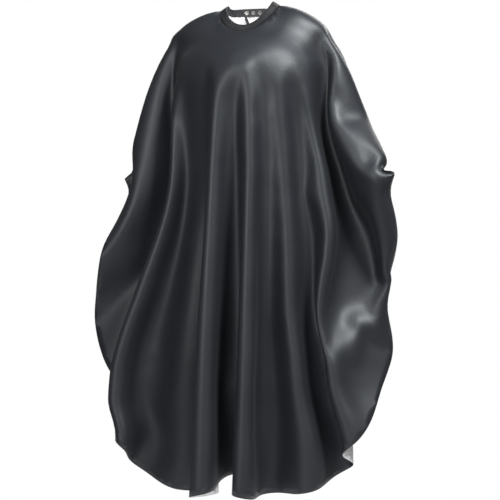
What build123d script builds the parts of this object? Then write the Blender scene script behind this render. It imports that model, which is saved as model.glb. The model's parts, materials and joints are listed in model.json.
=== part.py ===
"""Salon cape: one sheet with a neck hole and a back slit, a neckband, and a snap tab at the nape.

Frame: millimetres, +Z up, the wearer faces -Y, origin on the neckband's axis at half its height.
"""
from build123d import *
from math import cos, radians, sin
import os

# Neckband: a folded strip round the neck, in a plane that leans forward with the neck
NECK_TILT = 12.0          # degrees that the neckband's axis leans forward from upright
BAND_RADIUS = 60.0        # inner wall, round the front and sides
BAND_HEIGHT = 18.0
PLY = 0.6                 # one ply of the neckband
BAND_THICK = 2.4          # two plies and the interlining
CORNER_RADIUS = 40.0      # inner wall where the sides turn into the flat nape
FLAT_HALF = 20.0          # half the width of the flat nape
NAPE = 61.5               # inner wall of the under lap at the nape, from the axis
LAP_GAP = 3.4             # room for the snap between the two laps
UNDER_LAP_END = -36.0     # x where the under lap ends
SEAM_ALLOWANCE = 6.0      # depth of the sheet's neck edge inside the neckband
END_SEAM = 1.5            # width over which a strip's edge is sewn shut
THREAD = 0.4

# Closing tab: sewn to the end of the over lap, swings outwards where it is sewn on
TAB_ROOT = -15.7
TAB_END = 22.0
TAB_CORNER = 5.0
HINGE_GAP = 0.3
STITCH_INSET = 2.2        # from an edge to its line of stitches

# Ring snaps: one cap and socket on the tab, five studs along the under lap
SNAP_X = 8.0              # the stud that the tab is closed on, from the middle of the nape
STUD_PITCH = 16.0
STUDS_EACH_WAY = 2        # from that stud
SHANK_RADIUS = 1.4
SHANK_HOLE = 1.5
STUD_FLANGE_RADIUS = 5.0
STUD_FLANGE = 0.5
STUD_NECK_RADIUS = 2.0
STUD_HEAD_RADIUS = 2.4
STUD_NECK = 1.1           # from the flange to the wider head
STUD_HEIGHT = 2.3
POST_RADIUS = 4.8
POST_THICK = 0.6
POST_GRIP = 1.0           # the shank goes this far into the stud or the socket
CAP_RADIUS = 6.0
CAP_HEIGHT = 1.6
SOCKET_RADIUS = 5.5
SOCKET_BORE = 3.0
SOCKET_HEIGHT = 2.3
SOCKET_FLOOR = 0.5
SPRING_WIRE = 0.28        # radius of the wire
SPRING_RADIUS = 2.98
SPRING_ARC = 320.0
SPRING_LEVEL = 0.7        # above the socket's open face

# Draped sheet: (height, half width, half depth, centre's y) of each level of its outer shape
SHEET = 1.5               # thickness of the solid that stands for the cloth
LEVELS = (
    (-52.0, 112.0, 84.0, 4.0),
    (-88.0, 186.0, 106.0, 6.0),
    (-180.0, 240.0, 132.0, 4.0),
    (-400.0, 330.0, 176.0, 2.0),
    (-620.0, 360.0, 190.0, -28.0),
    (-860.0, 348.0, 190.0, -68.0),
    (-1105.0, 272.0, 165.0, -105.0),
)
BACK_HEM = -400.0         # the back panel ends here
SIDE_HEM = -560.0         # and the front panel's side edges start here
SIDE_HEM_Y = 70.0
HEM_TURN = (10.0, -860.0)
FRONT_HEM_Y = -150.0
SLIT_X = -20.0            # the back slit runs down from the neckband to the back hem
SLIT_WIDTH = 2.0
BINDING_WIDTH = 9.0
BINDING_THICK = 0.5
HEM_DEPTH = 12.0          # the hem's stitches lie this far above its edge
BEYOND = 400.0            # past every side of the sheet

TILT = radians(NECK_TILT)
NECK = Plane(origin=(0, 0, 0), x_dir=(1, 0, 0), z_dir=(0, -sin(TILT), cos(TILT)))
BAND_LOW = -BAND_HEIGHT / 2
OVER_NAPE = NAPE + BAND_THICK + LAP_GAP
OVER_LAP_END = TAB_ROOT - HINGE_GAP
TAB_LENGTH = TAB_END - TAB_ROOT
STUD_PLACES = [SNAP_X + STUD_PITCH * step for step in range(-STUDS_EACH_WAY, STUDS_EACH_WAY + 1)]
OUTWARDS = (0, cos(TILT), sin(TILT))
TAB_INSIDE = Plane(origin=NECK.from_local_coords(Vector(0, OVER_NAPE, 0)), x_dir=(1, 0, 0), z_dir=OUTWARDS)
TAB_OUTSIDE = TAB_INSIDE.offset(BAND_THICK)


def band_strip(inner, outer, shorter=0.0):
    """Draw the band's plan between two distances out from its inner wall, with both ends cut shorter."""
    over_end = OVER_LAP_END - shorter
    under_end = UNDER_LAP_END + shorter
    over = (-FLAT_HALF, OVER_NAPE - CORNER_RADIUS)
    under = (FLAT_HALF, NAPE - CORNER_RADIUS)
    for out in (inner, outer):
        side = BAND_RADIUS + out
        Line((over_end, OVER_NAPE + out), (over[0], OVER_NAPE + out))
        CenterArc(over, CORNER_RADIUS + out, 90, 90)
        Line((-side, over[1]), (-side, 0))
        CenterArc((0, 0), side, 180, 180)
        Line((side, 0), (side, under[1]))
        CenterArc(under, CORNER_RADIUS + out, 0, 90)
        Line((under[0], NAPE + out), (under_end, NAPE + out))
    Line((over_end, OVER_NAPE + inner), (over_end, OVER_NAPE + outer))
    Line((under_end, NAPE + inner), (under_end, NAPE + outer))


def stud_plane(place):
    """Plane on the under lap's outer face, its normal outwards, at a place along the lap."""
    turn = max(0.0, place - FLAT_HALF) / CORNER_RADIUS
    reach = CORNER_RADIUS + BAND_THICK
    x = min(place, FLAT_HALF) + reach * sin(turn)
    y = NAPE - CORNER_RADIUS + reach * cos(turn)
    outwards = NECK.from_local_coords(Vector(sin(turn), cos(turn), 0))
    return Plane(origin=NECK.from_local_coords(Vector(x, y, 0)), x_dir=NECK.z_dir, z_dir=outwards)


def draped(out):
    """Solid inside the sheet's outer shape, moved out by a distance, from the neck to the hem."""
    with BuildPart() as solid:
        with BuildSketch(NECK.offset(BAND_LOW)):
            Circle(BAND_RADIUS + BAND_THICK / 2 + SHEET / 2 + out)
        for height, half_width, half_depth, centre in LEVELS:
            with BuildSketch(Plane(origin=(0, centre, height))):
                Ellipse(half_width + out, half_depth + out)
        loft(ruled=True)
    return solid.part


def above_hem(raised):
    """All that lies above the hem's line, or above a line raised from it."""
    back_low = BACK_HEM + raised
    side_low = SIDE_HEM + raised
    front_low = LEVELS[-1][0] + raised
    side_y = SIDE_HEM_Y - raised
    with BuildPart() as solid:
        with BuildSketch(Plane.YZ):
            with BuildLine():
                Polyline((side_y, back_low), (BEYOND, back_low), (BEYOND, BEYOND),
                         (-BEYOND, BEYOND), (-BEYOND, front_low), (FRONT_HEM_Y, front_low))
                ThreePointArc((FRONT_HEM_Y, front_low), (HEM_TURN[0], HEM_TURN[1] + raised), (side_y, side_low))
                Line((side_y, side_low), (side_y, back_low))
            make_face()
        extrude(amount=BEYOND, both=True)
    return solid.part


def back_box(low_x, high_x):
    """Block behind the axis between two values of x, from above the neckband to the back hem."""
    with BuildPart() as block:
        with BuildSketch(Plane.XY.offset(BACK_HEM)):
            with Locations(((low_x + high_x) / 2, BEYOND / 2)):
                Rectangle(high_x - low_x, BEYOND)
        extrude(amount=2 * BEYOND)
    return block.part


slit = back_box(SLIT_X - SLIT_WIDTH / 2, SLIT_X + SLIT_WIDTH / 2)
slit_with_bindings = back_box(SLIT_X - SLIT_WIDTH / 2 - BINDING_WIDTH, SLIT_X + SLIT_WIDTH / 2 + BINDING_WIDTH)

# The sheet: a thin shell that follows the draped shape, open at the neck and the hem,
# with its neck edge turned up into the neckband round the front
with BuildPart() as cape_sheet:
    add(draped(0.0))
    add(draped(-SHEET), mode=Mode.SUBTRACT)
    with BuildSketch(NECK.offset(BAND_LOW)):
        Circle(BAND_RADIUS + BAND_THICK - PLY)
        Circle(BAND_RADIUS + PLY, mode=Mode.SUBTRACT)
        with Locations((0, BAND_RADIUS)):
            Rectangle(3 * BAND_RADIUS, 2 * BAND_RADIUS, mode=Mode.SUBTRACT)
    extrude(amount=SEAM_ALLOWANCE)
    add(above_hem(0.0), mode=Mode.INTERSECT)
    add(slit, mode=Mode.SUBTRACT)
cape_sheet.part.label = "cape_sheet"

# Line of stitches that holds the turned-up hem
with BuildPart() as hem_stitching:
    add(draped(THREAD))
    add(draped(0.0), mode=Mode.SUBTRACT)
    add(above_hem(HEM_DEPTH), mode=Mode.INTERSECT)
    add(above_hem(HEM_DEPTH + 2 * THREAD), mode=Mode.SUBTRACT)
    add(slit_with_bindings, mode=Mode.SUBTRACT)
hem_stitching.part.label = "hem_stitching"


def flap_binding(side):
    """Strip folded over one edge of the slit; side is 1 for the flap under the closure and -1 for the outer one."""
    edge = SLIT_X + side * (SLIT_WIDTH / 2 - BINDING_THICK)
    ends = sorted((edge, edge + side * BINDING_WIDTH))
    with BuildPart() as binding:
        add(draped(BINDING_THICK))
        add(draped(-SHEET - BINDING_THICK), mode=Mode.SUBTRACT)
        add(back_box(*ends), mode=Mode.INTERSECT)
        add(cape_sheet.part, mode=Mode.SUBTRACT)
    return binding


inner_flap_binding = flap_binding(1)
inner_flap_binding.part.label = "inner_flap_binding"
outer_flap_binding = flap_binding(-1)
outer_flap_binding.part.label = "outer_flap_binding"

# The neckband: a strip folded over its interlining and the sheet's edge, open along the bottom
with BuildPart() as neckband:
    with BuildSketch(NECK.offset(BAND_LOW)):
        with BuildLine():
            band_strip(0.0, BAND_THICK)
        make_face()
    extrude(amount=BAND_HEIGHT)
    with BuildSketch(NECK.offset(BAND_LOW)):
        with BuildLine():
            band_strip(PLY, BAND_THICK - PLY, END_SEAM)
        make_face()
    extrude(amount=BAND_HEIGHT - PLY, mode=Mode.SUBTRACT)
    with BuildSketch(*[stud_plane(place) for place in STUD_PLACES]):
        Circle(SHANK_HOLE)
    extrude(amount=-BAND_THICK - POST_THICK, mode=Mode.SUBTRACT)
neckband.part.label = "neckband"

# Stiff strip inside the neckband, above the sheet's edge
with BuildPart() as neckband_interlining:
    with BuildSketch(NECK.offset(BAND_LOW + SEAM_ALLOWANCE)):
        with BuildLine():
            band_strip(PLY, BAND_THICK - PLY, END_SEAM)
        make_face()
    extrude(amount=BAND_HEIGHT - SEAM_ALLOWANCE - PLY)
    with BuildSketch(*[stud_plane(place) for place in STUD_PLACES]):
        Circle(SHANK_HOLE)
    extrude(amount=-BAND_THICK - POST_THICK, mode=Mode.SUBTRACT)
neckband_interlining.part.label = "neckband_interlining"

# Line of stitches round the outside of the neckband, through the sheet's edge
with BuildPart() as neckband_stitching:
    with BuildSketch(NECK.offset(BAND_LOW + STITCH_INSET)):
        with BuildLine():
            band_strip(BAND_THICK, BAND_THICK + THREAD, STITCH_INSET)
        make_face()
    extrude(amount=2 * THREAD)
neckband_stitching.part.label = "neckband_stitching"

# Studs along the under lap, each clinched on the shank of a post that comes through from the inside
studs = []
posts = []
for number, place in enumerate(STUD_PLACES, start=1):
    with BuildPart() as stud:
        with BuildSketch(stud_plane(place)):
            Circle(STUD_FLANGE_RADIUS)
        extrude(amount=STUD_FLANGE)
        with BuildSketch(stud_plane(place)):
            Circle(STUD_NECK_RADIUS)
        extrude(amount=STUD_NECK)
        with BuildSketch(stud_plane(place).offset(STUD_NECK)):
            Circle(STUD_HEAD_RADIUS)
        extrude(amount=STUD_HEIGHT - STUD_NECK)
        with BuildSketch(stud_plane(place)):
            Circle(SHANK_RADIUS)
        extrude(amount=POST_GRIP, mode=Mode.SUBTRACT)
    stud.part.label = f"stud_{number}"
    studs.append(stud)

    bend_relief = POST_RADIUS ** 2 / (2 * CORNER_RADIUS) if place > FLAT_HALF else 0.0
    with BuildPart() as post:
        with BuildSketch(stud_plane(place).offset(-BAND_THICK - bend_relief - POST_THICK)):
            Circle(POST_RADIUS)
        extrude(amount=POST_THICK)
        with BuildSketch(stud_plane(place).offset(-BAND_THICK - bend_relief)):
            Circle(SHANK_RADIUS)
        extrude(amount=BAND_THICK + bend_relief + POST_GRIP)
    post.part.label = f"stud_post_{number}"
    posts.append(post)

# The closing tab: two plies sewn together all round, over an interlining
with BuildPart() as closing_tab:
    with BuildSketch(TAB_INSIDE):
        with Locations((TAB_ROOT + TAB_LENGTH / 2, 0)):
            tab_face = Rectangle(TAB_LENGTH, BAND_HEIGHT)
        fillet(tab_face.vertices().group_by(Axis.X)[-1], radius=TAB_CORNER)
    extrude(amount=BAND_THICK)
    with BuildSketch(TAB_INSIDE.offset(PLY)):
        with Locations((TAB_ROOT + TAB_LENGTH / 2, 0)):
            Rectangle(TAB_LENGTH - 2 * END_SEAM, BAND_HEIGHT - 2 * END_SEAM)
    extrude(amount=BAND_THICK - 2 * PLY, mode=Mode.SUBTRACT)
    with BuildSketch(TAB_INSIDE):
        with Locations((SNAP_X, 0)):
            Circle(SHANK_HOLE)
    extrude(amount=BAND_THICK, mode=Mode.SUBTRACT)
closing_tab.part.label = "closing_tab"

# Stiff strip between the tab's plies
with BuildPart() as tab_interlining:
    with BuildSketch(TAB_INSIDE.offset(PLY)):
        with Locations((TAB_ROOT + TAB_LENGTH / 2, 0)):
            Rectangle(TAB_LENGTH - 2 * END_SEAM, BAND_HEIGHT - 2 * END_SEAM)
        with Locations((SNAP_X, 0)):
            Circle(SHANK_HOLE, mode=Mode.SUBTRACT)
    extrude(amount=BAND_THICK - 2 * PLY)
tab_interlining.part.label = "tab_interlining"

# Line of stitches round the tab, just inside its edge
with BuildPart() as tab_stitching:
    with BuildSketch(TAB_OUTSIDE):
        for inset, mode in ((STITCH_INSET, Mode.ADD), (STITCH_INSET + 2 * THREAD, Mode.SUBTRACT)):
            with Locations((TAB_ROOT + TAB_LENGTH / 2, 0)):
                RectangleRounded(TAB_LENGTH - 2 * inset, BAND_HEIGHT - 2 * inset, TAB_CORNER - inset, mode=mode)
    extrude(amount=THREAD)
tab_stitching.part.label = "tab_stitching"

# Cap on the tab's outside, whose shank goes through the tab and clinches the socket
with BuildPart() as snap_cap:
    with BuildSketch(TAB_OUTSIDE):
        with Locations((SNAP_X, 0)):
            Circle(CAP_RADIUS)
    extrude(amount=CAP_HEIGHT)
    cap_rim = snap_cap.edges().filter_by(GeomType.CIRCLE).sort_by(Axis((0, 0, 0), OUTWARDS))[-1]
    fillet(cap_rim, radius=CAP_HEIGHT * 0.6)
    with BuildSketch(TAB_OUTSIDE):
        with Locations((SNAP_X, 0)):
            Circle(SHANK_RADIUS)
    extrude(amount=-BAND_THICK - SOCKET_FLOOR)
snap_cap.part.label = "snap_cap"

# Socket on the tab's inside, with a groove for its spring
SOCKET_FACE = TAB_INSIDE.offset(-SOCKET_HEIGHT)
with BuildPart() as snap_socket:
    with BuildSketch(SOCKET_FACE):
        with Locations((SNAP_X, 0)):
            Circle(SOCKET_RADIUS)
            Circle(SOCKET_BORE, mode=Mode.SUBTRACT)
    extrude(amount=SOCKET_HEIGHT - SOCKET_FLOOR)
    with BuildSketch(TAB_INSIDE):
        with Locations((SNAP_X, 0)):
            Circle(SOCKET_RADIUS)
            Circle(SHANK_RADIUS, mode=Mode.SUBTRACT)
    extrude(amount=-SOCKET_FLOOR)
    with BuildSketch(SOCKET_FACE.offset(SPRING_LEVEL)):
        with Locations((SNAP_X, 0)):
            Circle(SPRING_RADIUS + SPRING_WIRE)
    extrude(amount=2 * SPRING_WIRE, mode=Mode.SUBTRACT)
snap_socket.part.label = "snap_socket"

# Split ring of wire in the groove, which grips a stud's neck
ring_plane = SOCKET_FACE.offset(SPRING_LEVEL + SPRING_WIRE)
ring_centre = ring_plane.from_local_coords(Vector(SNAP_X, 0, 0))
with BuildPart() as socket_spring:
    with BuildSketch(Plane(origin=ring_centre, x_dir=(1, 0, 0), z_dir=ring_plane.y_dir)):
        with Locations((SPRING_RADIUS, 0)):
            Circle(SPRING_WIRE)
    revolve(axis=Axis(ring_centre, OUTWARDS), revolution_arc=SPRING_ARC)
socket_spring.part.label = "socket_spring"

pieces = [cape_sheet, hem_stitching, inner_flap_binding, outer_flap_binding, neckband,
          neckband_interlining, neckband_stitching, *studs, *posts, closing_tab,
          tab_interlining, tab_stitching, snap_cap, snap_socket, socket_spring]
if __name__ == "__main__":
    os.makedirs("parts", exist_ok=True)
    for piece in pieces:
        export_step(piece.part, f"parts/{piece.part.label}.step")
        box = piece.part.bounding_box()
        print(piece.part.label, piece.part.is_valid, len(piece.part.solids()), round(piece.part.volume, 1), box)
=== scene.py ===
"""Salon cape hanging as worn: a draped sheet, bound slit edges, neckband, closing tab and ring snaps."""
import json
import math

import bmesh
import bpy
import numpy as np
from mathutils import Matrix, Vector
from mathutils.bvhtree import BVHTree
from mathutils.geometry import barycentric_transform, delaunay_2d_cdt

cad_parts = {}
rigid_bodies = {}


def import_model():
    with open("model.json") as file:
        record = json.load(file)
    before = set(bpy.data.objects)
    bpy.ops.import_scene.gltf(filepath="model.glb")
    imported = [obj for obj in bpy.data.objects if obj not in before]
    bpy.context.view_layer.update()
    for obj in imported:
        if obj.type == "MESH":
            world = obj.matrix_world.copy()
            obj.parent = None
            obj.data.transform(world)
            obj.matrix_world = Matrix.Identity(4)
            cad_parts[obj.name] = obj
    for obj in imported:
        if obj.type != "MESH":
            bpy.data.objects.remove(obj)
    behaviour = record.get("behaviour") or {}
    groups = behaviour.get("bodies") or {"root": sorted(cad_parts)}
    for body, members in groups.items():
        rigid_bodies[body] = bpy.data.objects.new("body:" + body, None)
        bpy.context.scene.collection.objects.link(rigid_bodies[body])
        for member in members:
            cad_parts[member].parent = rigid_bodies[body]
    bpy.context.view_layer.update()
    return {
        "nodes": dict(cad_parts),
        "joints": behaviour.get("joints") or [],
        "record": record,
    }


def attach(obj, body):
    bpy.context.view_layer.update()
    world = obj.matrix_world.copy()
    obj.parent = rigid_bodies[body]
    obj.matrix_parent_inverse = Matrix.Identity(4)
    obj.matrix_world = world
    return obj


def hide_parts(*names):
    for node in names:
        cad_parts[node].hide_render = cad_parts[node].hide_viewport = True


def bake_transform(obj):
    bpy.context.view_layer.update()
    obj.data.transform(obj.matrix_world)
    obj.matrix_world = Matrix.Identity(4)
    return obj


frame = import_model()
bpy.ops.object.select_all(action="DESELECT")
scene = bpy.context.scene

# ---------------------------------------------------------------- camera
# A long lens, level with the middle of the cape and a little to the wearer's left of straight ahead.
VIEW_TURN = math.radians(15.0)
VIEW_DISTANCE = 4.2
VIEW_WIDTH = 1.16
VIEW_HEIGHT = -0.545
SENSOR = 36.0

bpy.ops.object.camera_add()
camera = bpy.context.object
camera.name = "camera"
camera.data.sensor_width = SENSOR
camera.data.lens = SENSOR * VIEW_DISTANCE / VIEW_WIDTH
towards_camera = Vector((math.sin(VIEW_TURN), -math.cos(VIEW_TURN), 0.0))
camera.location = Vector((0.0, 0.0, VIEW_HEIGHT)) + towards_camera * VIEW_DISTANCE
camera.rotation_euler = (-towards_camera).to_track_quat("-Z", "Y").to_euler()
scene.camera = camera

# ---------------------------------------------------------------- line of the neckband
# The neckband runs from the over lap's end round the wearer's right side, the front and the left side to
# the under lap's end. Its plane leans forward, and it rises at the sides, dips at the throat and flares out.
neck = next(mount for mount in frame["record"]["mounts"] if mount["name"] == "neck")
LEAN = math.atan2(-neck["axis"][1], neck["axis"][2])
BAND_HEIGHT = neck["dims"]["length_mm"] / 1000
BAND_THICK = 0.0024
BAND_MIDDLE = BAND_THICK / 2
SIDE_RADIUS = neck["dims"]["r_mm"] / 1000 + BAND_MIDDLE
CORNER_RADIUS = 0.040 + BAND_MIDDLE
FLAT_HALF = 0.020
UNDER_NAPE = 0.0615 + BAND_MIDDLE
OVER_NAPE = 0.0673 + BAND_MIDDLE
OVER_END = -0.022
UNDER_END = -0.036
ARC_STEPS = 40
BAND_LIFTS = (0.0053, -0.0155, -0.0134, 0.0040)     # level, at the throat, at the sides, more on the left
BAND_FLARES = (math.radians(45), math.radians(60))  # at the throat and at the sides
LIFT_FADE_START = math.radians(95)
LIFT_FADE_END = math.radians(140)


def smooth(value):
    """Ease from 0 to 1 while the value goes from 0 to 1."""
    value = np.clip(value, 0.0, 1.0)
    return value * value * (3 - 2 * value)


def plan_arc(centre, radius, start, end):
    angles = np.radians(np.linspace(start, end, ARC_STEPS))
    return [(centre[0] + radius * math.cos(angle), centre[1] + radius * math.sin(angle))
            for angle in angles]


band_plan = np.array(
    [(OVER_END, OVER_NAPE)]
    + plan_arc((-FLAT_HALF, OVER_NAPE - CORNER_RADIUS), CORNER_RADIUS, 93, 180)
    + plan_arc((0.0, 0.0), SIDE_RADIUS, 180, 360)
    + plan_arc((FLAT_HALF, UNDER_NAPE - CORNER_RADIUS), CORNER_RADIUS, 0, 90)
    + [(UNDER_END, UNDER_NAPE)])
band_runs = np.concatenate([[0.0], np.cumsum(np.linalg.norm(np.diff(band_plan, axis=0), axis=1))])
BAND_LENGTH = band_runs[-1]
FRONT_RUN = band_runs[np.argmin(band_plan[:, 1])]
AHEAD = 0.003


def band_place(run, out=0.0, up=0.0, lifts=BAND_LIFTS, flares=BAND_FLARES):
    """Places at runs along the neckband, moved out and up from the middle of its section."""
    x, y = (np.interp(run, band_runs, band_plan[:, axis]) for axis in (0, 1))
    along = [np.interp(run + AHEAD, band_runs, band_plan[:, axis])
             - np.interp(run - AHEAD, band_runs, band_plan[:, axis]) for axis in (0, 1)]
    length = np.hypot(*along)
    turn = np.abs(np.arctan2(x, -y))
    lift = lifts[0] + lifts[1] * np.cos(turn) + lifts[2] * np.cos(2 * turn) + lifts[3] * x / SIDE_RADIUS
    away_from_nape = 1 - smooth((turn - LIFT_FADE_START) / (LIFT_FADE_END - LIFT_FADE_START))
    flare = (flares[0] + (flares[1] - flares[0]) * np.sin(turn) ** 2) * away_from_nape
    out, up = out * np.cos(flare) - up * np.sin(flare), up * np.cos(flare) + out * np.sin(flare)
    up = up + lift * away_from_nape
    x = x + along[1] / length * out
    y = y - along[0] / length * out
    return np.stack([x, y * math.cos(LEAN) - up * math.sin(LEAN),
                     y * math.sin(LEAN) + up * math.cos(LEAN)], -1)


# ---------------------------------------------------------------- the cape's cut
# One piece of coated nylon, cut flat: long in front and short behind, with a round neck hole and a slit
# from the hole to the rear hem. u runs across it to the wearer's left, v from the neck to the front hem.
CELL = 0.022
FRONT_LENGTH = 1.13
REAR_LENGTH = 0.33
HALF_WIDTH = 0.66
ELBOW_HALF_WIDTH = 0.57
REAR_HALF_WIDTH = 0.44
NECK_HOLE = 0.0675
SLIT_AT = -0.022
SLIT_HALF_GAP = 0.0008
CORNERS = (  # u, v and radius
    (SLIT_AT + SLIT_HALF_GAP, -REAR_LENGTH, 0.0),
    (REAR_HALF_WIDTH, -REAR_LENGTH, 0.10),
    (ELBOW_HALF_WIDTH, 0.10, 0.25),
    (HALF_WIDTH, 0.45, 0.30),
    (HALF_WIDTH - 0.02, FRONT_LENGTH, 0.60),
    (-HALF_WIDTH + 0.02, FRONT_LENGTH, 0.60),
    (-HALF_WIDTH, 0.45, 0.30),
    (-ELBOW_HALF_WIDTH, 0.10, 0.25),
    (-REAR_HALF_WIDTH, -REAR_LENGTH, 0.10),
    (SLIT_AT - SLIT_HALF_GAP, -REAR_LENGTH, 0.0),
)


def divided(start, end):
    """Points from start up to, not including, end, about a cell apart."""
    count = max(1, round(math.dist(start, end) / CELL))
    return [tuple(point) for point in np.linspace(start, end, count, endpoint=False)]


def rounded(corners):
    """The outline through the corners, each rounded to its radius, as a list of points."""
    points = []
    for number, (u, v, radius) in enumerate(corners):
        corner = Vector((u, v))
        if radius == 0:
            points.append((u, v))
            continue
        back = (Vector(corners[number - 1][:2]) - corner).normalized()
        ahead = (Vector(corners[(number + 1) % len(corners)][:2]) - corner).normalized()
        half_angle = back.angle(ahead) / 2
        centre = corner + (back + ahead).normalized() * (radius / math.sin(half_angle))
        first = corner + back * (radius / math.tan(half_angle)) - centre
        start = math.atan2(first.y, first.x)
        turn = math.copysign(math.pi - 2 * half_angle, ahead.cross(back))
        for angle in np.linspace(start, start + turn, max(3, round(radius * abs(turn) / CELL))):
            points.append((centre.x + radius * math.cos(angle), centre.y + radius * math.sin(angle)))
    return points


def inside(points, outline):
    """Whether each point is inside the outline, by counting the edges to its right."""
    u, v = points[:, 0], points[:, 1]
    crossed = np.zeros(len(points), bool)
    for (u0, v0), (u1, v1) in zip(outline, np.roll(outline, -1, axis=0)):
        if v0 != v1:
            crossed ^= ((v0 > v) != (v1 > v)) & (u < u0 + (u1 - u0) * (v - v0) / (v1 - v0))
    return crossed


outer_edge = rounded(CORNERS)
hole_top = -math.sqrt(NECK_HOLE ** 2 - SLIT_AT ** 2)
hole_start = math.atan2(hole_top, SLIT_AT)
hole_gap = SLIT_HALF_GAP / NECK_HOLE
hole_steps = round(2 * math.pi * NECK_HOLE / (0.6 * CELL))
hole = [(NECK_HOLE * math.cos(angle), NECK_HOLE * math.sin(angle))
        for angle in np.linspace(hole_start - hole_gap, hole_start - 2 * math.pi + hole_gap, hole_steps)]
outline = []
for start, end in zip(outer_edge[:-1], outer_edge[1:]):
    outline += divided(start, end)
outline += divided(outer_edge[-1], hole[0]) + hole[:-1] + divided(hole[-1], outer_edge[0])
outline = np.array(outline)

across = np.arange(-HALF_WIDTH + CELL / 2, HALF_WIDTH, CELL)
down = np.arange(-REAR_LENGTH + CELL / 2, FRONT_LENGTH, CELL)
grid = np.stack(np.meshgrid(across, down, indexing="ij"), -1).reshape(-1, 2)
grid = grid[inside(grid, outline)]
from_edge = np.min(np.linalg.norm(grid[:, None] - outline[None], axis=2), axis=1)
grid = grid[from_edge > 0.6 * CELL]
ring = [(number, (number + 1) % len(outline)) for number in range(len(outline))]
points = [Vector(point) for point in np.concatenate([outline, grid])]
found, _, triangles, _, _, _ = delaunay_2d_cdt(points, ring, [list(range(len(outline)))], 2, 1e-7)
flat = np.array([tuple(point) for point in found])

# ---------------------------------------------------------------- hanging the cape
# The sheet starts as a low roof over a hidden form, held along the neckband, and falls under its own weight.
# The form is taken away afterwards. The fallen sheet is then moved at the neck, shoulders and sides.
SEAM_DROP = 0.008
SIDE_FALL = math.radians(12)
FRONT_FALLS = (math.radians(30), math.radians(78))
REAR_FALLS = (math.radians(8), math.radians(55))
FALL_REACH = 0.30
FALL_STEPS = 60
START_HEIGHT = 0.012
FOLDS = (-38, -23, -10, 10, 24, 38)     # directions from the throat, in degrees, where a fold stands out
FOLD_DEPTH = 0.025
FOLD_START, FOLD_RUN = 0.25, 0.60
OVERLAP_LIFT = 0.006
BENDING = 1.6
FRAMES = 80
FORM_LIMBS = (  # start, end, radius at the start and at the end
    ((0.0, 0.015, -0.12), (0.0, 0.0, 0.05), 0.058, 0.050),
    ((0.0, 0.010, -0.022), (0.120, 0.020, -0.066), 0.050, 0.050),
    ((0.120, 0.020, -0.066), (0.205, 0.045, -0.38), 0.050, 0.040),
    ((0.205, 0.045, -0.38), (0.275, 0.000, -0.66), 0.040, 0.036),
    ((0.275, 0.000, -0.66), (0.295, -0.030, -0.82), 0.038, 0.036),
)
FORM_BODY = (  # centre, half sizes
    ((0.0, -0.02, -0.165), (0.165, 0.105, 0.130)),
    ((0.0, 0.00, -0.260), (0.165, 0.118, 0.170)),
    ((0.0, 0.01, -0.500), (0.150, 0.105, 0.250)),
    ((0.0, -0.01, -0.840), (0.290, 0.100, 0.210)),
)
FORM_CELL = 0.012
DRAWS = (  # side (1 is the wearer's left), height, reach up and down, share of x that is added
    (-1, 0.00, 0.07, 0.14),      # shoulders
    (1, 0.00, 0.07, 0.14),
    (1, -0.25, 0.16, -0.09),     # upper arm
    (-1, -0.40, 0.32, -0.20),    # elbows
    (1, -0.50, 0.12, 0.05),
    (1, -0.68, 0.12, -0.06),     # knees
    (-1, -0.80, 0.16, 0.06),
    (-1, -0.98, 0.10, -0.10),    # hem
    (1, -0.98, 0.14, 0.08),
)
DRAW_FROM, DRAW_RUN = 0.03, 0.20
HUNG_LIFTS = (0.0053, -0.0081, -0.0134, 0.0)
HUNG_FLARES = (math.radians(35), math.radians(35))
SETTLE_REACH = 0.12
SHOULDER_LIFT = 0.008
LIMB_STEPS = 12

slit_angle = math.asin(-SLIT_AT / NECK_HOLE)


def round_and_run(u, v):
    """The direction of points of the cut from the throat, and the run along the neckband they hang from."""
    turn = np.arctan2(u, v)
    turn = np.where((v < 0) & (u > SLIT_AT) & (u < 0), turn + 2 * math.pi, turn)
    return turn, np.where(turn < 0, FRONT_RUN * (1 + turn / (math.pi - slit_angle)),
                          FRONT_RUN + (BAND_LENGTH - FRONT_RUN) * turn / (math.pi + slit_angle))


u, v = flat[:, 0], flat[:, 1]
at_neck = np.abs(np.hypot(u, v) - NECK_HOLE) < 2e-4
round_neck, neck_run = round_and_run(u, v)


def fall_profile(distance, falls):
    """How far out and down each point lies along a slope that steepens between the two falls."""
    out, down = np.zeros(len(distance)), np.zeros(len(distance))
    for step in range(FALL_STEPS):
        slope = falls[0] + (falls[1] - falls[0]) * smooth((step + 0.5) / FALL_STEPS * distance / FALL_REACH)
        out += np.cos(slope) * distance / FALL_STEPS
        down += np.sin(slope) * distance / FALL_STEPS
    return out, down


front_out, front_down = fall_profile(np.maximum(v, 0), FRONT_FALLS)
rear_out, rear_down = fall_profile(np.maximum(-v, 0), REAR_FALLS)
folds = np.radians(FOLDS)
turns = np.sort(np.concatenate([folds, (folds[1:] + folds[:-1]) / 2]))
wave = -np.cos(np.interp(round_neck, turns, np.arange(len(turns)) * math.pi))
wave = np.where((round_neck > turns[0]) & (round_neck < turns[-1]), wave, -1.0)
overlap = OVERLAP_LIFT * smooth((-round_neck - 2.0) / 0.5)
start_y = rear_out - front_out + wave * FOLD_DEPTH * smooth((v - FOLD_START) / FOLD_RUN)
start_z = START_HEIGHT - front_down - rear_down - np.abs(u) * math.sin(SIDE_FALL)
places = np.stack([u * math.cos(SIDE_FALL), start_y + 0.6 * overlap, start_z + 0.8 * overlap], -1)
places[at_neck] = band_place(neck_run[at_neck], 0.0, -SEAM_DROP, HUNG_LIFTS, HUNG_FLARES)

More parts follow.
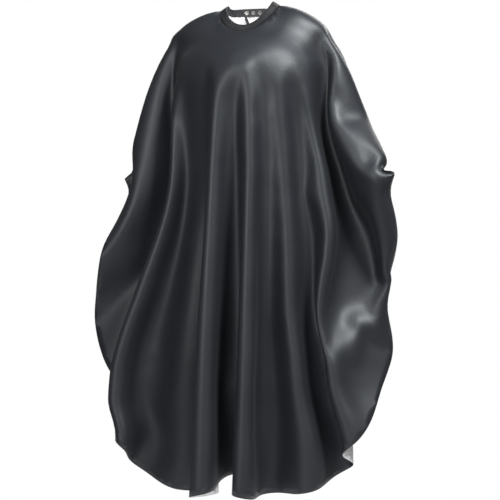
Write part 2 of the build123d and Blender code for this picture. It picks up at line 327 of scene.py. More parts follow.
cloth_mesh = bpy.data.meshes.new("hanging_cloth")
flat_points = [(a, b, 0.0) for a, b in flat]
cloth_mesh.from_pydata(flat_points, [], [tuple(reversed(face)) for face in triangles])
cloth = bpy.data.objects.new("hanging_cloth", cloth_mesh)
scene.collection.objects.link(cloth)
flat_layer = bmesh.new()
flat_layer.from_mesh(cloth_mesh)
bmesh.ops.join_triangles(flat_layer, faces=flat_layer.faces[:], angle_face_threshold=math.pi,
                         angle_shape_threshold=0.6)
cut_map = flat_layer.loops.layers.uv.new("cut")
for face in flat_layer.faces:
    for loop in face.loops:
        loop[cut_map].uv = loop.vert.co.xy
flat_layer.to_mesh(cloth_mesh)
flat_layer.free()
cloth_mesh.vertices.foreach_set("co", places.ravel())
cloth.shape_key_add(name="Basis")
cut_shape = cloth.shape_key_add(name="cut")
cut_shape.data.foreach_set("co", np.array(flat_points).ravel())
cut_shape.value = 0.0
held = cloth.vertex_groups.new(name="held")
held.add([int(index) for index in np.flatnonzero(at_neck)], 1.0, "REPLACE")

bpy.ops.object.select_all(action="DESELECT")
for start, end, start_radius, end_radius in FORM_LIMBS:
    for side in (1, -1):
        for share in np.linspace(0, 1, LIMB_STEPS):
            middle = Vector(start).lerp(Vector(end), share)
            bpy.ops.mesh.primitive_ico_sphere_add(subdivisions=3, radius=start_radius
                                                  + (end_radius - start_radius) * share,
                                                  location=(middle.x * side, middle.y, middle.z))
for centre, half_sizes in FORM_BODY:
    bpy.ops.mesh.primitive_ico_sphere_add(subdivisions=4, radius=1.0, location=centre, scale=half_sizes)
form_pieces = [item for item in scene.objects if item.name.startswith("Icosphere")]
for item in form_pieces:
    item.select_set(True)
bpy.context.view_layer.objects.active = form_pieces[0]
bpy.ops.object.join()
form = bpy.context.object
bpy.ops.object.transform_apply(location=True, rotation=True, scale=True)
bpy.ops.object.modifier_add(type="REMESH")
form.modifiers["Remesh"].mode = "VOXEL"
form.modifiers["Remesh"].voxel_size = FORM_CELL
bpy.ops.object.modifier_apply(modifier="Remesh")
bpy.ops.object.modifier_add(type="SMOOTH")
form.modifiers["Smooth"].iterations = 8
bpy.ops.object.modifier_apply(modifier="Smooth")
bpy.ops.object.modifier_add(type="COLLISION")
form.collision.thickness_outer = 0.004
form.collision.cloth_friction = 5.0
form.collision.damping = 0.5

bpy.ops.object.select_all(action="DESELECT")
bpy.context.view_layer.objects.active = cloth
cloth.select_set(True)
bpy.ops.object.modifier_add(type="CLOTH")
fall = cloth.modifiers["Cloth"]
fall.settings.quality = 6
fall.settings.mass = 0.1
fall.settings.air_damping = 2.0
fall.settings.bending_model = "ANGULAR"
fall.settings.tension_stiffness = 80.0
fall.settings.compression_stiffness = 80.0
fall.settings.shear_stiffness = 20.0
fall.settings.bending_stiffness = BENDING
fall.settings.vertex_group_mass = held.name
fall.settings.rest_shape_key = cut_shape
fall.collision_settings.distance_min = 0.004
fall.collision_settings.collision_quality = 3
fall.collision_settings.use_self_collision = True
fall.collision_settings.self_distance_min = 0.004
fall.collision_settings.self_friction = 2.0
fall.point_cache.frame_start = 1
fall.point_cache.frame_end = FRAMES
scene.frame_start = 1
scene.frame_end = FRAMES
scene.render.fps = 24
for frame_number in range(1, FRAMES + 1):
    scene.frame_set(frame_number)
depsgraph = bpy.context.evaluated_depsgraph_get()
cape = bpy.data.objects.new("cape", bpy.data.meshes.new_from_object(cloth.evaluated_get(depsgraph)))
scene.collection.objects.link(cape)
bpy.data.objects.remove(cloth)
bpy.data.objects.remove(form)
scene.frame_set(1)

bpy.ops.object.select_all(action="DESELECT")
bpy.context.view_layer.objects.active = cape
cape.select_set(True)
bpy.ops.object.modifier_add(type="SUBSURF")
cape.modifiers["Subdivision"].levels = 1
cape.modifiers["Subdivision"].render_levels = 1
bpy.ops.object.modifier_apply(modifier="Subdivision")
bpy.ops.object.shade_smooth()

cape_mesh = cape.data
corner_cut = np.empty(len(cape_mesh.loops) * 2, np.float32)
cape_mesh.uv_layers["cut"].uv.foreach_get("vector", corner_cut)
corner_vertex = np.empty(len(cape_mesh.loops), np.int32)
cape_mesh.loops.foreach_get("vertex_index", corner_vertex)
cut = np.zeros((len(cape_mesh.vertices), 2))
cut[corner_vertex] = corner_cut.reshape(-1, 2)

# Settle the cloth on the finished neckband and the shoulders, then draw the sides in or out
hung = np.empty(len(cape_mesh.vertices) * 3)
cape_mesh.vertices.foreach_get("co", hung)
hung = hung.reshape(-1, 3)
run = np.clip(round_and_run(cut[:, 0], cut[:, 1])[1], 0.0, BAND_LENGTH)
settled = band_place(run, 0.0, -SEAM_DROP) - band_place(run, 0.0, -SEAM_DROP, HUNG_LIFTS, HUNG_FLARES)
hung += settled * (1 - smooth((np.hypot(*cut.T) - NECK_HOLE) / SETTLE_REACH))[:, None]
aside = np.abs(hung[:, 0])
hung[:, 2] += (SHOULDER_LIFT * smooth((aside - 0.06) / 0.04) * (1 - smooth((aside - 0.11) / 0.06))
               * smooth((hung[:, 2] + 0.08) / 0.05))
drawn = np.zeros(len(hung))
for side, height, reach, share in DRAWS:
    drawn += share * (hung[:, 0] * side > 0) * (1 - smooth(np.abs(hung[:, 2] - height) / reach))
hung[:, 0] *= 1 + drawn * smooth((np.abs(hung[:, 0]) - DRAW_FROM) / DRAW_RUN)
cape_mesh.vertices.foreach_set("co", hung.ravel())
cape_mesh.update()
cape_mesh.calc_loop_triangles()
cut_points = [Vector((a, b, 0.0)) for a, b in cut]
cut_triangles = [tuple(triangle.vertices) for triangle in cape_mesh.loop_triangles]
cut_tree = BVHTree.FromPolygons(cut_points, cut_triangles)
hung_points = [vertex.co.copy() for vertex in cape_mesh.vertices]
hung_normals = [vertex.normal.copy() for vertex in cape_mesh.vertices]


def on_cape(u, v, out=0.0):
    """Where a point of the cut lies on the hanging cape, moved out from its outer face."""
    near, _, index, _ = cut_tree.find_nearest(Vector((u, v, 0.0)))
    corners = cut_triangles[index]
    flat_corners = [cut_points[corner] for corner in corners]
    place = barycentric_transform(near, *flat_corners, *[hung_points[corner] for corner in corners])
    normal = barycentric_transform(near, *flat_corners, *[hung_normals[corner] for corner in corners])
    return place + normal.normalized() * out


# ---------------------------------------------------------------- the cape's finish
# Satin charcoal nylon outside, with a silver coating inside that has creased finely where the cloth was
# folded away. The weave and the creases follow the cut.
CHARCOAL = (0.0165, 0.0185, 0.0228, 1.0)
CHARCOAL_WORN = (0.0215, 0.0238, 0.0290, 1.0)
SILVER = (0.80, 0.80, 0.81, 1.0)
SILVER_CREASED = (0.62, 0.62, 0.64, 1.0)
NYLON_THREADS = 3200.0
FOLD_MARKS = 26.0
CLOTH_THICK = 0.0004


def group_of(name, inputs, outputs):
    """A new shader node group with its input and output nodes."""
    tree = bpy.data.node_groups.new(name, "ShaderNodeTree")
    for socket, kind in inputs:
        tree.interface.new_socket(socket, in_out="INPUT", socket_type=kind)
    for socket, kind in outputs:
        tree.interface.new_socket(socket, in_out="OUTPUT", socket_type=kind)
    return tree, tree.nodes.new("NodeGroupInput"), tree.nodes.new("NodeGroupOutput")


def math_node(tree, operation, first, second=None):
    """A Math node in the tree fed by sockets or numbers; returns its output."""
    node = tree.nodes.new("ShaderNodeMath")
    node.operation = operation
    for socket, value in zip(node.inputs, (first, second)):
        if isinstance(value, bpy.types.NodeSocket):
            tree.links.new(value, socket)
        elif value is not None:
            socket.default_value = value
    return node.outputs[0]


def mixed(tree, share, first, second):
    """A colour between two colours; returns its output."""
    node = tree.nodes.new("ShaderNodeMix")
    node.data_type = "RGBA"
    tree.links.new(share, node.inputs["Factor"])
    node.inputs["A"].default_value = first
    node.inputs["B"].default_value = second
    return node.outputs["Result"]


def ranged(tree, value, low, high, to_low, to_high):
    """The value mapped from one range to another; returns its output."""
    node = tree.nodes.new("ShaderNodeMapRange")
    tree.links.new(value, node.inputs["Value"])
    for socket, number in zip(("From Min", "From Max", "To Min", "To Max"), (low, high, to_low, to_high)):
        node.inputs[socket].default_value = number
    return node.outputs["Result"]


def texture(tree, kind, vector, scale, **sockets):
    """A texture node on a vector; returns the node."""
    node = tree.nodes.new(kind)
    tree.links.new(vector, node.inputs["Vector"])
    if isinstance(scale, bpy.types.NodeSocket):
        tree.links.new(scale, node.inputs["Scale"])
    else:
        node.inputs["Scale"].default_value = scale
    for name, value in sockets.items():
        node.inputs[name].default_value = value
    return node


weave, given, put_out = group_of("weave", [("Vector", "NodeSocketVector"), ("Threads", "NodeSocketFloat")],
                                 [("Height", "NodeSocketFloat")])
split = weave.nodes.new("ShaderNodeSeparateXYZ")
weave.links.new(given.outputs["Vector"], split.inputs["Vector"])
thread_turn = math_node(weave, "MULTIPLY", given.outputs["Threads"], math.pi)
warp_turn = math_node(weave, "MULTIPLY", split.outputs["X"], thread_turn)
weft_turn = math_node(weave, "MULTIPLY", split.outputs["Y"], thread_turn)
warp_round = math_node(weave, "ABSOLUTE", math_node(weave, "SINE", warp_turn))
weft_round = math_node(weave, "ABSOLUTE", math_node(weave, "SINE", weft_turn))
over_under = math_node(weave, "MULTIPLY", math_node(weave, "COSINE", warp_turn),
                       math_node(weave, "COSINE", weft_turn))
warp_on_top = ranged(weave, over_under, -0.3, 0.3, 0.0, 1.0)
blended = weave.nodes.new("ShaderNodeMix")
weave.links.new(warp_on_top, blended.inputs["Factor"])
weave.links.new(weft_round, blended.inputs["A"])
weave.links.new(warp_round, blended.inputs["B"])
weave.links.new(blended.outputs["Result"], put_out.inputs["Height"])

creases, given, put_out = group_of("creases", [("Vector", "NodeSocketVector"), ("Scale", "NodeSocketFloat")],
                                   [("Height", "NodeSocketFloat"), ("Mark", "NodeSocketFloat")])
bend = texture(creases, "ShaderNodeTexNoise", given.outputs["Vector"], given.outputs["Scale"], Detail=4.0)
bent = creases.nodes.new("ShaderNodeVectorMath")
bent.operation = "MULTIPLY_ADD"
creases.links.new(bend.outputs["Color"], bent.inputs[0])
bent.inputs[1].default_value = (0.05, 0.05, 0.05)
creases.links.new(given.outputs["Vector"], bent.inputs[2])
cells = texture(creases, "ShaderNodeTexVoronoi", bent.outputs["Vector"], given.outputs["Scale"],
                Randomness=1.0)
cells.feature = "DISTANCE_TO_EDGE"
line = ranged(creases, cells.outputs["Distance"], 0.0, 0.09, 1.0, 0.0)
patch = ranged(creases, bend.outputs["Fac"], 0.40, 0.62, 0.0, 1.0)
mark = math_node(creases, "MULTIPLY", line, patch)
creases.links.new(mark, put_out.inputs["Mark"])
raised = math_node(creases, "MULTIPLY", mark, 0.25)
creases.links.new(math_node(creases, "ADD", bend.outputs["Fac"], raised), put_out.inputs["Height"])


def new_material(name):
    """A new material; returns it, its node tree and its shader."""
    material = bpy.data.materials.new(name)
    material.use_nodes = True
    return material, material.node_tree, material.node_tree.nodes["Principled BSDF"]


def placed(tree, group, vector, **sockets):
    """A node group placed in a material on a vector; returns the node."""
    node = tree.nodes.new("ShaderNodeGroup")
    node.node_tree = group
    tree.links.new(vector, node.inputs["Vector"])
    for name, value in sockets.items():
        node.inputs[name].default_value = value
    return node


def bumped(tree, height, distance, strength, under=None):
    """A Bump node on a height, over another normal where one is given; returns its output."""
    node = tree.nodes.new("ShaderNodeBump")
    node.inputs["Distance"].default_value = distance
    node.inputs["Strength"].default_value = strength
    tree.links.new(height, node.inputs["Height"])
    if under is not None:
        tree.links.new(under, node.inputs["Normal"])
    return node.outputs["Normal"]


def cut_vector(tree):
    node = tree.nodes.new("ShaderNodeUVMap")
    node.uv_map = "cut"
    return node.outputs["UV"]


def charcoal_nylon():
    """Satin outer face of the cape."""
    material, tree, shader = new_material("charcoal_nylon")
    vector = cut_vector(tree)
    threads = placed(tree, weave, vector, Threads=NYLON_THREADS)
    marks = placed(tree, creases, vector, Scale=FOLD_MARKS)
    wear = texture(tree, "ShaderNodeTexNoise", vector, 7.0, Detail=6.0)
    tree.links.new(mixed(tree, wear.outputs["Fac"], CHARCOAL, CHARCOAL_WORN), shader.inputs["Base Color"])
    tree.links.new(ranged(tree, wear.outputs["Fac"], 0.3, 0.7, 0.44, 0.52), shader.inputs["Roughness"])
    fine = bumped(tree, threads.outputs["Height"], 0.00004, 0.35)
    tree.links.new(bumped(tree, marks.outputs["Height"], 0.0012, 0.22, fine), shader.inputs["Normal"])
    shader.inputs["Specular IOR Level"].default_value = 0.55
    shader.inputs["Specular Tint"].default_value = (0.93, 0.97, 1.0, 1.0)
    shader.inputs["Sheen Weight"].default_value = 0.04
    shader.inputs["Sheen Roughness"].default_value = 0.35
    return material


def silver_coating():
    """Creased inner face of the cape."""
    material, tree, shader = new_material("silver_coating")
    vector = cut_vector(tree)
    marks = placed(tree, creases, vector, Scale=2.2 * FOLD_MARKS)
    threads = placed(tree, weave, vector, Threads=NYLON_THREADS)
    tree.links.new(mixed(tree, marks.outputs["Mark"], SILVER, SILVER_CREASED), shader.inputs["Base Color"])
    tree.links.new(ranged(tree, marks.outputs["Height"], 0.3, 0.8, 0.34, 0.50), shader.inputs["Roughness"])
    fine = bumped(tree, threads.outputs["Height"], 0.00003, 0.25)
    tree.links.new(bumped(tree, marks.outputs["Height"], 0.004, 0.7, fine), shader.inputs["Normal"])
    shader.inputs["Metallic"].default_value = 0.35
    return material


cape_mesh.materials.append(charcoal_nylon())
cape_mesh.materials.append(silver_coating())
bpy.ops.object.modifier_add(type="SOLIDIFY")
cape.modifiers["Solidify"].thickness = CLOTH_THICK
cape.modifiers["Solidify"].offset = -1.0
cape.modifiers["Solidify"].material_offset = 1
bpy.ops.object.modifier_apply(modifier="Solidify")
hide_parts("cape_sheet")
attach(cape, "root")

# ---------------------------------------------------------------- hem stitching
# One row of lock stitches in black polyester thread holds the hem, which follows the whole outline a hem's
# depth inside it.
HEM_DEPTH = 0.012
HEM_PITCH = 0.004
STITCH_LENGTH = 0.0028
THREAD_WIDTH = 0.0005
THREAD_PROUD = 0.00008

bpy.ops.object.select_all(action="DESELECT")
bpy.ops.mesh.primitive_uv_sphere_add(segments=6, ring_count=4, radius=0.5,
                                     rotation=(0.0, math.pi / 2, 0.0),
                                     scale=(0.6 * THREAD_WIDTH, THREAD_WIDTH, STITCH_LENGTH))
one_stitch = bpy.context.object
bpy.ops.object.transform_apply(location=True, rotation=True, scale=True)
stitch_points = np.array([vertex.co for vertex in one_stitch.data.vertices])
stitch_faces = [np.array(face.vertices) for face in one_stitch.data.polygons]
bpy.data.objects.remove(one_stitch)


def black_thread():
    """Twisted polyester thread with a slight gloss."""
    material, tree, shader = new_material("black_thread")
    places = tree.nodes.new("ShaderNodeTexCoord").outputs["Object"]
    twist = texture(tree, "ShaderNodeTexNoise", places, 2500.0, Detail=2.0)
    tree.links.new(mixed(tree, twist.outputs["Fac"], (0.010, 0.010, 0.011, 1.0), (0.035, 0.035, 0.038, 1.0)),
                   shader.inputs["Base Color"])
    tree.links.new(bumped(tree, twist.outputs["Fac"], 0.0001, 0.5), shader.inputs["Normal"])
    shader.inputs["Roughness"].default_value = 0.5
    return material


thread_black = black_thread()


def stitched(name, rows):
    """A row of stitches, one for each (start, end, outwards) of places on the surface, as one piece."""
    points, faces = [], []
    for start, end, outwards in rows:
        along = (end - start).normalized()
        across = outwards.cross(along).normalized()
        frame_axes = np.array([along, across, along.cross(across)])
        faces += [tuple(face + len(points) * len(stitch_points)) for face in stitch_faces]
        points.append(stitch_points @ frame_axes + np.array((start + end) / 2))
    mesh = bpy.data.meshes.new(name)
    mesh.from_pydata(np.concatenate(points), [], faces)
    mesh.materials.append(thread_black)
    piece = bpy.data.objects.new(name, mesh)
    scene.collection.objects.link(piece)
    mesh.shade_smooth()
    return piece


edge = np.array(outer_edge)
edge_runs = np.concatenate([[0.0], np.cumsum(np.linalg.norm(np.diff(edge, axis=0), axis=1))])


def hem_point(run):
    """Place and outward direction on the cape at a run along the outline, a hem's depth inside it."""
    here, ahead = ([np.interp(at, edge_runs, edge[:, axis]) for axis in (0, 1)]
                   for at in (run, run + AHEAD))
    along = Vector((ahead[0] - here[0], ahead[1] - here[1])).normalized()
    u, v = here[0] - along.y * HEM_DEPTH, here[1] + along.x * HEM_DEPTH
    place = on_cape(u, v, THREAD_PROUD)
    return place, (on_cape(u, v, 0.001) - place).normalized()


hem_rows = []
for middle in np.arange(2 * HEM_DEPTH, edge_runs[-1] - 2 * HEM_DEPTH, HEM_PITCH):
    start, outwards = hem_point(middle - STITCH_LENGTH / 2)
    end = hem_point(middle + STITCH_LENGTH / 2)[0]
    hem_rows.append((start, end, outwards))
hem_thread = stitched("hem_thread", hem_rows)
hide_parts("hem_stitching")
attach(hem_thread, "root")

# ---------------------------------------------------------------- slit bindings
# Each edge of the slit is bound with a woven polyester tape folded over it, from under the neckband down to
# the rear hem.
BINDING_WIDTH = 0.009
TAPE_THICK = 0.00035
BINDING_STEPS = 110
BINDING_SECTION = (  # share of the width in from the edge, height over the outer face in tape thicknesses
    (1.0, 0.15), (0.97, 1.0), (0.5, 1.1), (0.1, 1.1), (-0.05, 0.6), (-0.08, -0.6), (-0.05, -1.8),
    (0.1, -2.3), (0.5, -2.3), (0.97, -2.2), (1.0, -1.3),
)


def woven_tape():
    """Matt black woven tape."""
    material, tree, shader = new_material("woven_tape")
    places = tree.nodes.new("ShaderNodeTexCoord").outputs["Object"]
    threads = placed(tree, weave, places, Threads=1400.0)
    fibres = texture(tree, "ShaderNodeTexNoise", places, 900.0, Detail=4.0)
    tree.links.new(mixed(tree, fibres.outputs["Fac"], (0.007, 0.007, 0.008, 1.0), (0.019, 0.019, 0.021, 1.0)),
                   shader.inputs["Base Color"])
    coarse = bumped(tree, threads.outputs["Height"], 0.00012, 0.6)
    tree.links.new(bumped(tree, fibres.outputs["Fac"], 0.0001, 0.3, coarse), shader.inputs["Normal"])
    shader.inputs["Roughness"].default_value = 0.62
    shader.inputs["Sheen Weight"].default_value = 0.05
    return material


tape_black = woven_tape()


def swept(name, rows, material):
    """A closed skin over rows of points, each row one cross-section, with both ends closed."""
    count = len(rows[0])
    points = [point for row in rows for point in row]
    faces = [tuple(reversed(range(count))), tuple(range(len(points) - count, len(points)))]
    for row in range(len(rows) - 1):
        for step in range(count):
            low, next_low = row * count + step, row * count + (step + 1) % count
            faces.append((low, next_low, next_low + count, low + count))
    mesh = bpy.data.meshes.new(name)
    mesh.from_pydata(points, [], faces)
    mesh.materials.append(material)
    skin = bmesh.new()
    skin.from_mesh(mesh)
    bmesh.ops.recalc_face_normals(skin, faces=skin.faces[:])
    skin.to_mesh(mesh)
    skin.free()
    piece = bpy.data.objects.new(name, mesh)
    scene.collection.objects.link(piece)
    bpy.ops.object.select_all(action="DESELECT")
    bpy.context.view_layer.objects.active = piece
    piece.select_set(True)
    bpy.ops.object.shade_smooth_by_angle(angle=math.radians(40))
    return piece


for flap, side in (("inner_flap", 1), ("outer_flap", -1)):
    rows = []
    for v in np.linspace(hole_top - 0.001, -REAR_LENGTH + 0.0005, BINDING_STEPS):
        at_edge = SLIT_AT + side * (SLIT_HALF_GAP + 0.0001)
        edge_place = on_cape(at_edge, v)
        inwards = on_cape(at_edge + side * 0.003, v) - edge_place
        row = []
        for share, height in BINDING_SECTION:
            out = height * TAPE_THICK
            if share > 0:
                row.append(on_cape(at_edge + side * share * BINDING_WIDTH, v, out))
            else:
                row.append(on_cape(at_edge, v, out) + inwards.normalized() * share * BINDING_WIDTH)
        rows.append(row)
    binding = swept(f"{flap}_binding_tape", rows, tape_black)
    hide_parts(f"{flap}_binding")
    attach(binding, "root")

# ---------------------------------------------------------------- neckband
# A strip of nylon folded lengthwise over a stiff interlining, with the cape's neck edge between its two
# plies, top-stitched near its open edge. It stands round the neck and laps over itself at the nape.
PLY = 0.0006
BAND_STEPS = 260
HALF_HEIGHT = BAND_HEIGHT / 2
CHANNEL_TOP = -0.003
PUCKER = 0.00018
PUCKER_PITCH = 0.0062
BAND_SECTION = (  # out from the middle of the thickness, and up
    (BAND_MIDDLE, -HALF_HEIGHT), (1.12 * BAND_MIDDLE, -0.75 * HALF_HEIGHT),
    (0.92 * BAND_MIDDLE, -0.66 * HALF_HEIGHT),
    (1.10 * BAND_MIDDLE, -0.35 * HALF_HEIGHT), (1.12 * BAND_MIDDLE, 0.45 * HALF_HEIGHT),
    (BAND_MIDDLE, HALF_HEIGHT - 0.0012), (0.7 * BAND_MIDDLE, HALF_HEIGHT - 0.0003), (0.0, HALF_HEIGHT),
    (-0.7 * BAND_MIDDLE, HALF_HEIGHT - 0.0003), (-BAND_MIDDLE, HALF_HEIGHT - 0.0012),
    (-BAND_MIDDLE, 0.45 * HALF_HEIGHT), (-BAND_MIDDLE, -0.35 * HALF_HEIGHT),
    (-0.88 * BAND_MIDDLE, -0.66 * HALF_HEIGHT), (-BAND_MIDDLE, -HALF_HEIGHT),
    (PLY - BAND_MIDDLE, -HALF_HEIGHT), (PLY - BAND_MIDDLE, CHANNEL_TOP),
    (BAND_MIDDLE - PLY, CHANNEL_TOP), (BAND_MIDDLE - PLY, -HALF_HEIGHT),
)


def band_nylon():
    """The neckband's and tab's cloth, rougher than the cape's."""
    material, tree, shader = new_material("band_nylon")
    places = tree.nodes.new("ShaderNodeTexCoord").outputs["Object"]
    threads = placed(tree, weave, places, Threads=1800.0)
    wear = texture(tree, "ShaderNodeTexNoise", places, 60.0, Detail=6.0)
    tree.links.new(mixed(tree, wear.outputs["Fac"], (0.010, 0.0105, 0.0115, 1.0), (0.022, 0.023, 0.025, 1.0)),
                   shader.inputs["Base Color"])
    tree.links.new(ranged(tree, wear.outputs["Fac"], 0.3, 0.7, 0.46, 0.60), shader.inputs["Roughness"])
    fine = bumped(tree, threads.outputs["Height"], 0.00008, 0.5)
    tree.links.new(bumped(tree, wear.outputs["Fac"], 0.0008, 0.3, fine), shader.inputs["Normal"])
    return material


nylon_band = band_nylon()
runs = np.linspace(0.0, BAND_LENGTH, BAND_STEPS)
sections = []
for out, up in BAND_SECTION:
    pucker = PUCKER * np.sin(2 * math.pi * runs / PUCKER_PITCH) if up < 0 and out > 0 else 0.0
    sections.append(band_place(runs, out + pucker, up))
neckband = swept("neckband_strip", np.stack(sections, axis=1).tolist(), nylon_band)
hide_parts("neckband")
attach(neckband, "root")


def interlining_felt():
    """Stiff white non-woven strip."""
    material, tree, shader = new_material("interlining_felt")
    places = tree.nodes.new("ShaderNodeTexCoord").outputs["Object"]
    fibres = texture(tree, "ShaderNodeTexNoise", places, 700.0, Detail=8.0)
    tree.links.new(mixed(tree, fibres.outputs["Fac"], (0.62, 0.62, 0.60, 1.0), (0.78, 0.78, 0.76, 1.0)),
                   shader.inputs["Base Color"])
    tree.links.new(bumped(tree, fibres.outputs["Fac"], 0.0002, 0.6), shader.inputs["Normal"])
    shader.inputs["Roughness"].default_value = 0.85
    return material


felt_white = interlining_felt()
INSIDE_PLIES = BAND_MIDDLE - PLY - 0.0001
stiffener_runs = np.linspace(0.0015, BAND_LENGTH - 0.0015, BAND_STEPS)
stiffener_section = ((INSIDE_PLIES, CHANNEL_TOP + 0.0003), (INSIDE_PLIES, HALF_HEIGHT - 0.0014),
                     (-INSIDE_PLIES, HALF_HEIGHT - 0.0014), (-INSIDE_PLIES, CHANNEL_TOP + 0.0003))
stiffener_rows = np.stack([band_place(stiffener_runs, *place) for place in stiffener_section], axis=1)
stiffener = swept("neckband_stiffener", stiffener_rows.tolist(), felt_white)
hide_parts("neckband_interlining")
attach(stiffener, "root")

# Its row of top stitches, through both plies and the cape's edge
BAND_PITCH = 0.0031
HALF_STITCH = 0.0011
STITCH_UP = -0.70 * HALF_HEIGHT
band_rows = []
for middle in np.arange(0.004, BAND_LENGTH - 0.003, BAND_PITCH):
    for face in (1, -1):
        start, end, outer = (Vector(band_place(run, face * (BAND_MIDDLE * 0.97 + more), STITCH_UP))
                             for run, more in ((middle - HALF_STITCH, 0), (middle + HALF_STITCH, 0),
                                               (middle, 0.001)))
        band_rows.append((start, end, (outer - (start + end) / 2).normalized()))
band_thread = stitched("neckband_thread", band_rows)
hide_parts("neckband_stitching")
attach(band_thread, "root")

# ---------------------------------------------------------------- closing tab
# Two plies over an interlining, sewn to the end of the over lap.
# It crosses the nape and closes on one of the studs of the under lap.
TAB_START = OVER_END + 0.0002
TAB_END = 0.022
TAB_CORNER = 0.005
TAB_CELLS = (88, 36)
TAB_EDGE = 0.0008
hinge = frame["joints"][0]["pos_m"]

bpy.ops.object.select_all(action="DESELECT")
bpy.ops.mesh.primitive_grid_add(x_subdivisions=TAB_CELLS[0], y_subdivisions=TAB_CELLS[1], size=1.0)
tab = bpy.context.object
tab.name = "tab_cover"
for vertex in tab.data.vertices:
    past = max(0.0, TAB_START + (vertex.co.x + 0.5) * (TAB_END - TAB_START) - (TAB_END - TAB_CORNER))
    half = HALF_HEIGHT - TAB_CORNER + math.sqrt(max(TAB_CORNER ** 2 - past ** 2, 0.0))
    vertex.co = (TAB_START + (vertex.co.x + 0.5) * (TAB_END - TAB_START), 0.0, vertex.co.y * 2 * half)
bpy.ops.object.modifier_add(type="SOLIDIFY")
tab.modifiers["Solidify"].thickness = BAND_THICK
tab.modifiers["Solidify"].offset = 0.0
bpy.ops.object.modifier_apply(modifier="Solidify")
bpy.ops.object.modifier_add(type="BEVEL")
tab.modifiers["Bevel"].width = TAB_EDGE
tab.modifiers["Bevel"].segments = 3
tab.modifiers["Bevel"].limit_method = "ANGLE"
bpy.ops.object.modifier_apply(modifier="Bevel")
tab.data.materials.append(nylon_band)


def at_nape(piece):
    """Move a piece drawn round the origin into the over lap's plane at the nape."""
    piece.rotation_euler = (LEAN, 0.0, 0.0)
    piece.location = (0.0, OVER_NAPE * math.cos(LEAN), OVER_NAPE * math.sin(LEAN))
    bpy.ops.object.select_all(action="DESELECT")
    bpy.context.view_layer.objects.active = piece
    piece.select_set(True)
    bpy.ops.object.transform_apply(location=True, rotation=True, scale=True)


at_nape(tab)
skin = bmesh.new()
skin.from_mesh(tab.data)
bmesh.ops.recalc_face_normals(skin, faces=skin.faces[:])
skin.to_mesh(tab.data)
skin.free()
bpy.ops.object.shade_smooth_by_angle(angle=math.radians(40))
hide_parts("closing_tab")
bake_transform(tab)

# One row of stitches round the tab, on both faces, just inside its edge
TAB_STITCH_IN = 0.0022
STITCH_CORNER = TAB_CORNER - TAB_STITCH_IN
low_x, high_x = hinge[0] + 2 * TAB_STITCH_IN, TAB_END - TAB_STITCH_IN
half_up = HALF_HEIGHT - TAB_STITCH_IN
corner_angles = np.radians(np.linspace(0, 90, 7))
route = [(low_x, -half_up)]
route += [(high_x - STITCH_CORNER + STITCH_CORNER * math.sin(angle), -half_up + STITCH_CORNER
           - STITCH_CORNER * math.cos(angle)) for angle in corner_angles]
route += [(x, -up) for x, up in reversed(route[1:])] + [(low_x, half_up), (low_x, -half_up)]
route = np.array(route)
route_runs = np.concatenate([[0.0], np.cumsum(np.linalg.norm(np.diff(route, axis=0), axis=1))])
tab_rows = []
for middle in np.arange(0.5 * BAND_PITCH, route_runs[-1], BAND_PITCH):
    for face in (1, -1):
        ends = [Vector((np.interp(run, route_runs, route[:, 0]), face * (BAND_MIDDLE + THREAD_PROUD),
                        np.interp(run, route_runs, route[:, 1])))
                for run in (middle - HALF_STITCH, middle + HALF_STITCH)]
        tab_rows.append((*ends, Vector((0.0, face, 0.0))))
tab_thread = stitched("tab_thread", tab_rows)
at_nape(tab_thread)
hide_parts("tab_stitching")
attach(tab_thread, "tab")
frame["nodes"]["tab_interlining"].data.materials.clear()
frame["nodes"]["tab_interlining"].data.materials.append(felt_white)

# ---------------------------------------------------------------- ring snaps
# Nickel-plated brass: a domed cap whose shank clinches the socket on the tab, and a stud with its post at
# each of five places along the under lap. A split ring of spring wire in the socket grips a stud's neck.


def plated(name, colour, roughness, scratch_scale):
    """Plated or drawn metal with fine scratches and a little dulling."""
    material, tree, shader = new_material(name)
    places = tree.nodes.new("ShaderNodeTexCoord").outputs["Object"]
    scratches = texture(tree, "ShaderNodeTexNoise", places, scratch_scale, Detail=6.0)
    dull = texture(tree, "ShaderNodeTexNoise", places, 240.0, Detail=3.0)
    darker = tuple(0.72 * part for part in colour[:3]) + (1.0,)
    tree.links.new(mixed(tree, dull.outputs["Fac"], darker, colour), shader.inputs["Base Color"])
    tree.links.new(ranged(tree, dull.outputs["Fac"], 0.3, 0.7, roughness, roughness + 0.14),
                   shader.inputs["Roughness"])
    tree.links.new(bumped(tree, scratches.outputs["Fac"], 0.00003, 0.25), shader.inputs["Normal"])
    shader.inputs["Metallic"].default_value = 1.0
    return material


nickel = plated("nickel_plate", (0.66, 0.65, 0.62, 1.0), 0.18, 2600.0)
spring_steel = plated("spring_wire_steel", (0.56, 0.57, 0.58, 1.0), 0.26, 4200.0)
for node_name, node in frame["nodes"].items():
    if node_name.startswith(("stud", "snap")):
        node.data.materials.clear()
        node.data.materials.append(nickel)
frame["nodes"]["socket_spring"].data.materials.clear()
frame["nodes"]["socket_spring"].data.materials.append(spring_steel)

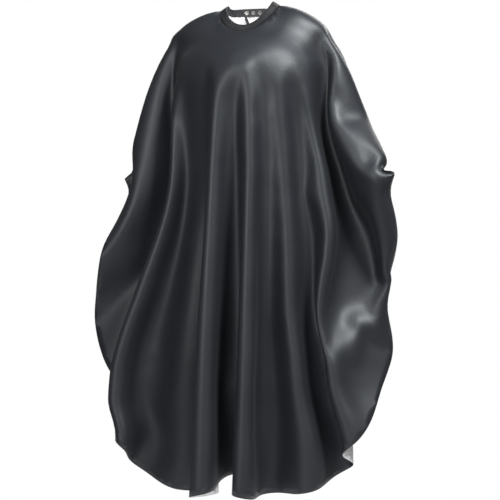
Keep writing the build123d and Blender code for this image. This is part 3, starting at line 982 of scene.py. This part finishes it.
# ---------------------------------------------------------------- floor and light
# A round pale floor where a standing wearer's feet would be. A strong lamp high on the wearer's left, two
# from the front, one from behind, and a small one inside the neck that lights the lining.
FLOOR_LEVEL = -1.45
FLOOR_RADIUS = 1.5
FLOOR_THICK = 0.02
LAMPS = (  # place, what it is turned to, size, watts
    ((1.9, -1.3, 2.3), (0.15, 0.0, -0.15), 0.8, 150.0),
    ((-0.7, -3.1, 0.5), (0.0, 0.0, -0.5), 1.0, 32.0),
    ((-0.2, -3.0, 2.2), (0.0, 0.0, -0.4), 1.0, 26.0),
    ((0.4, 3.0, 1.5), (0.0, 0.0, -0.4), 2.0, 60.0),
)
NECK_LAMP = (0.0, -0.005, -0.09)
NECK_WATTS = 0.6

bpy.ops.object.select_all(action="DESELECT")
bpy.ops.mesh.primitive_cylinder_add(vertices=128, radius=FLOOR_RADIUS, depth=FLOOR_THICK,
                                    location=(0.0, 0.0, FLOOR_LEVEL - FLOOR_THICK / 2))
floor = bpy.context.object
floor.name = "floor"
bpy.ops.object.transform_apply(location=True, rotation=True, scale=True)
bpy.ops.object.modifier_add(type="BEVEL")
floor.modifiers["Bevel"].width = FLOOR_THICK / 3
floor.modifiers["Bevel"].segments = 3
bpy.ops.object.modifier_apply(modifier="Bevel")
floor_paint, tree, shader = new_material("floor_paint")
places = tree.nodes.new("ShaderNodeTexCoord").outputs["Object"]
tone = texture(tree, "ShaderNodeTexNoise", places, 3.0, Detail=5.0)
tree.links.new(mixed(tree, tone.outputs["Fac"], (0.78, 0.78, 0.78, 1.0), (0.84, 0.84, 0.84, 1.0)),
               shader.inputs["Base Color"])
shader.inputs["Roughness"].default_value = 0.7
floor.data.materials.append(floor_paint)

for place, target, size, watts in LAMPS:
    bpy.ops.object.light_add(type="AREA", location=place)
    lamp = bpy.context.object
    lamp.data.size = size
    lamp.data.energy = watts
    lamp.rotation_euler = (Vector(target) - Vector(place)).to_track_quat("-Z", "Y").to_euler()
bpy.ops.object.light_add(type="POINT", location=NECK_LAMP)
lamp = bpy.context.object
lamp.data.energy = NECK_WATTS
lamp.data.shadow_soft_size = 0.02
lamp.visible_camera = False

world = bpy.data.worlds.new("studio")
scene.world = world
world.use_nodes = True
tree = world.node_tree
room = tree.nodes["Background"]
room.inputs["Color"].default_value = (1.0, 1.0, 1.0, 1.0)
room.inputs["Strength"].default_value = 0.10
backdrop = tree.nodes.new("ShaderNodeBackground")
backdrop.inputs["Color"].default_value = (1.0, 1.0, 1.0, 1.0)
backdrop.inputs["Strength"].default_value = 1.0
seen = tree.nodes.new("ShaderNodeMixShader")
tree.links.new(tree.nodes.new("ShaderNodeLightPath").outputs["Is Camera Ray"], seen.inputs["Fac"])
tree.links.new(room.outputs["Background"], seen.inputs[1])
tree.links.new(backdrop.outputs["Background"], seen.inputs[2])
tree.links.new(seen.outputs["Shader"], tree.nodes["World Output"].inputs["Surface"])
scene.view_settings.view_transform = "Standard"
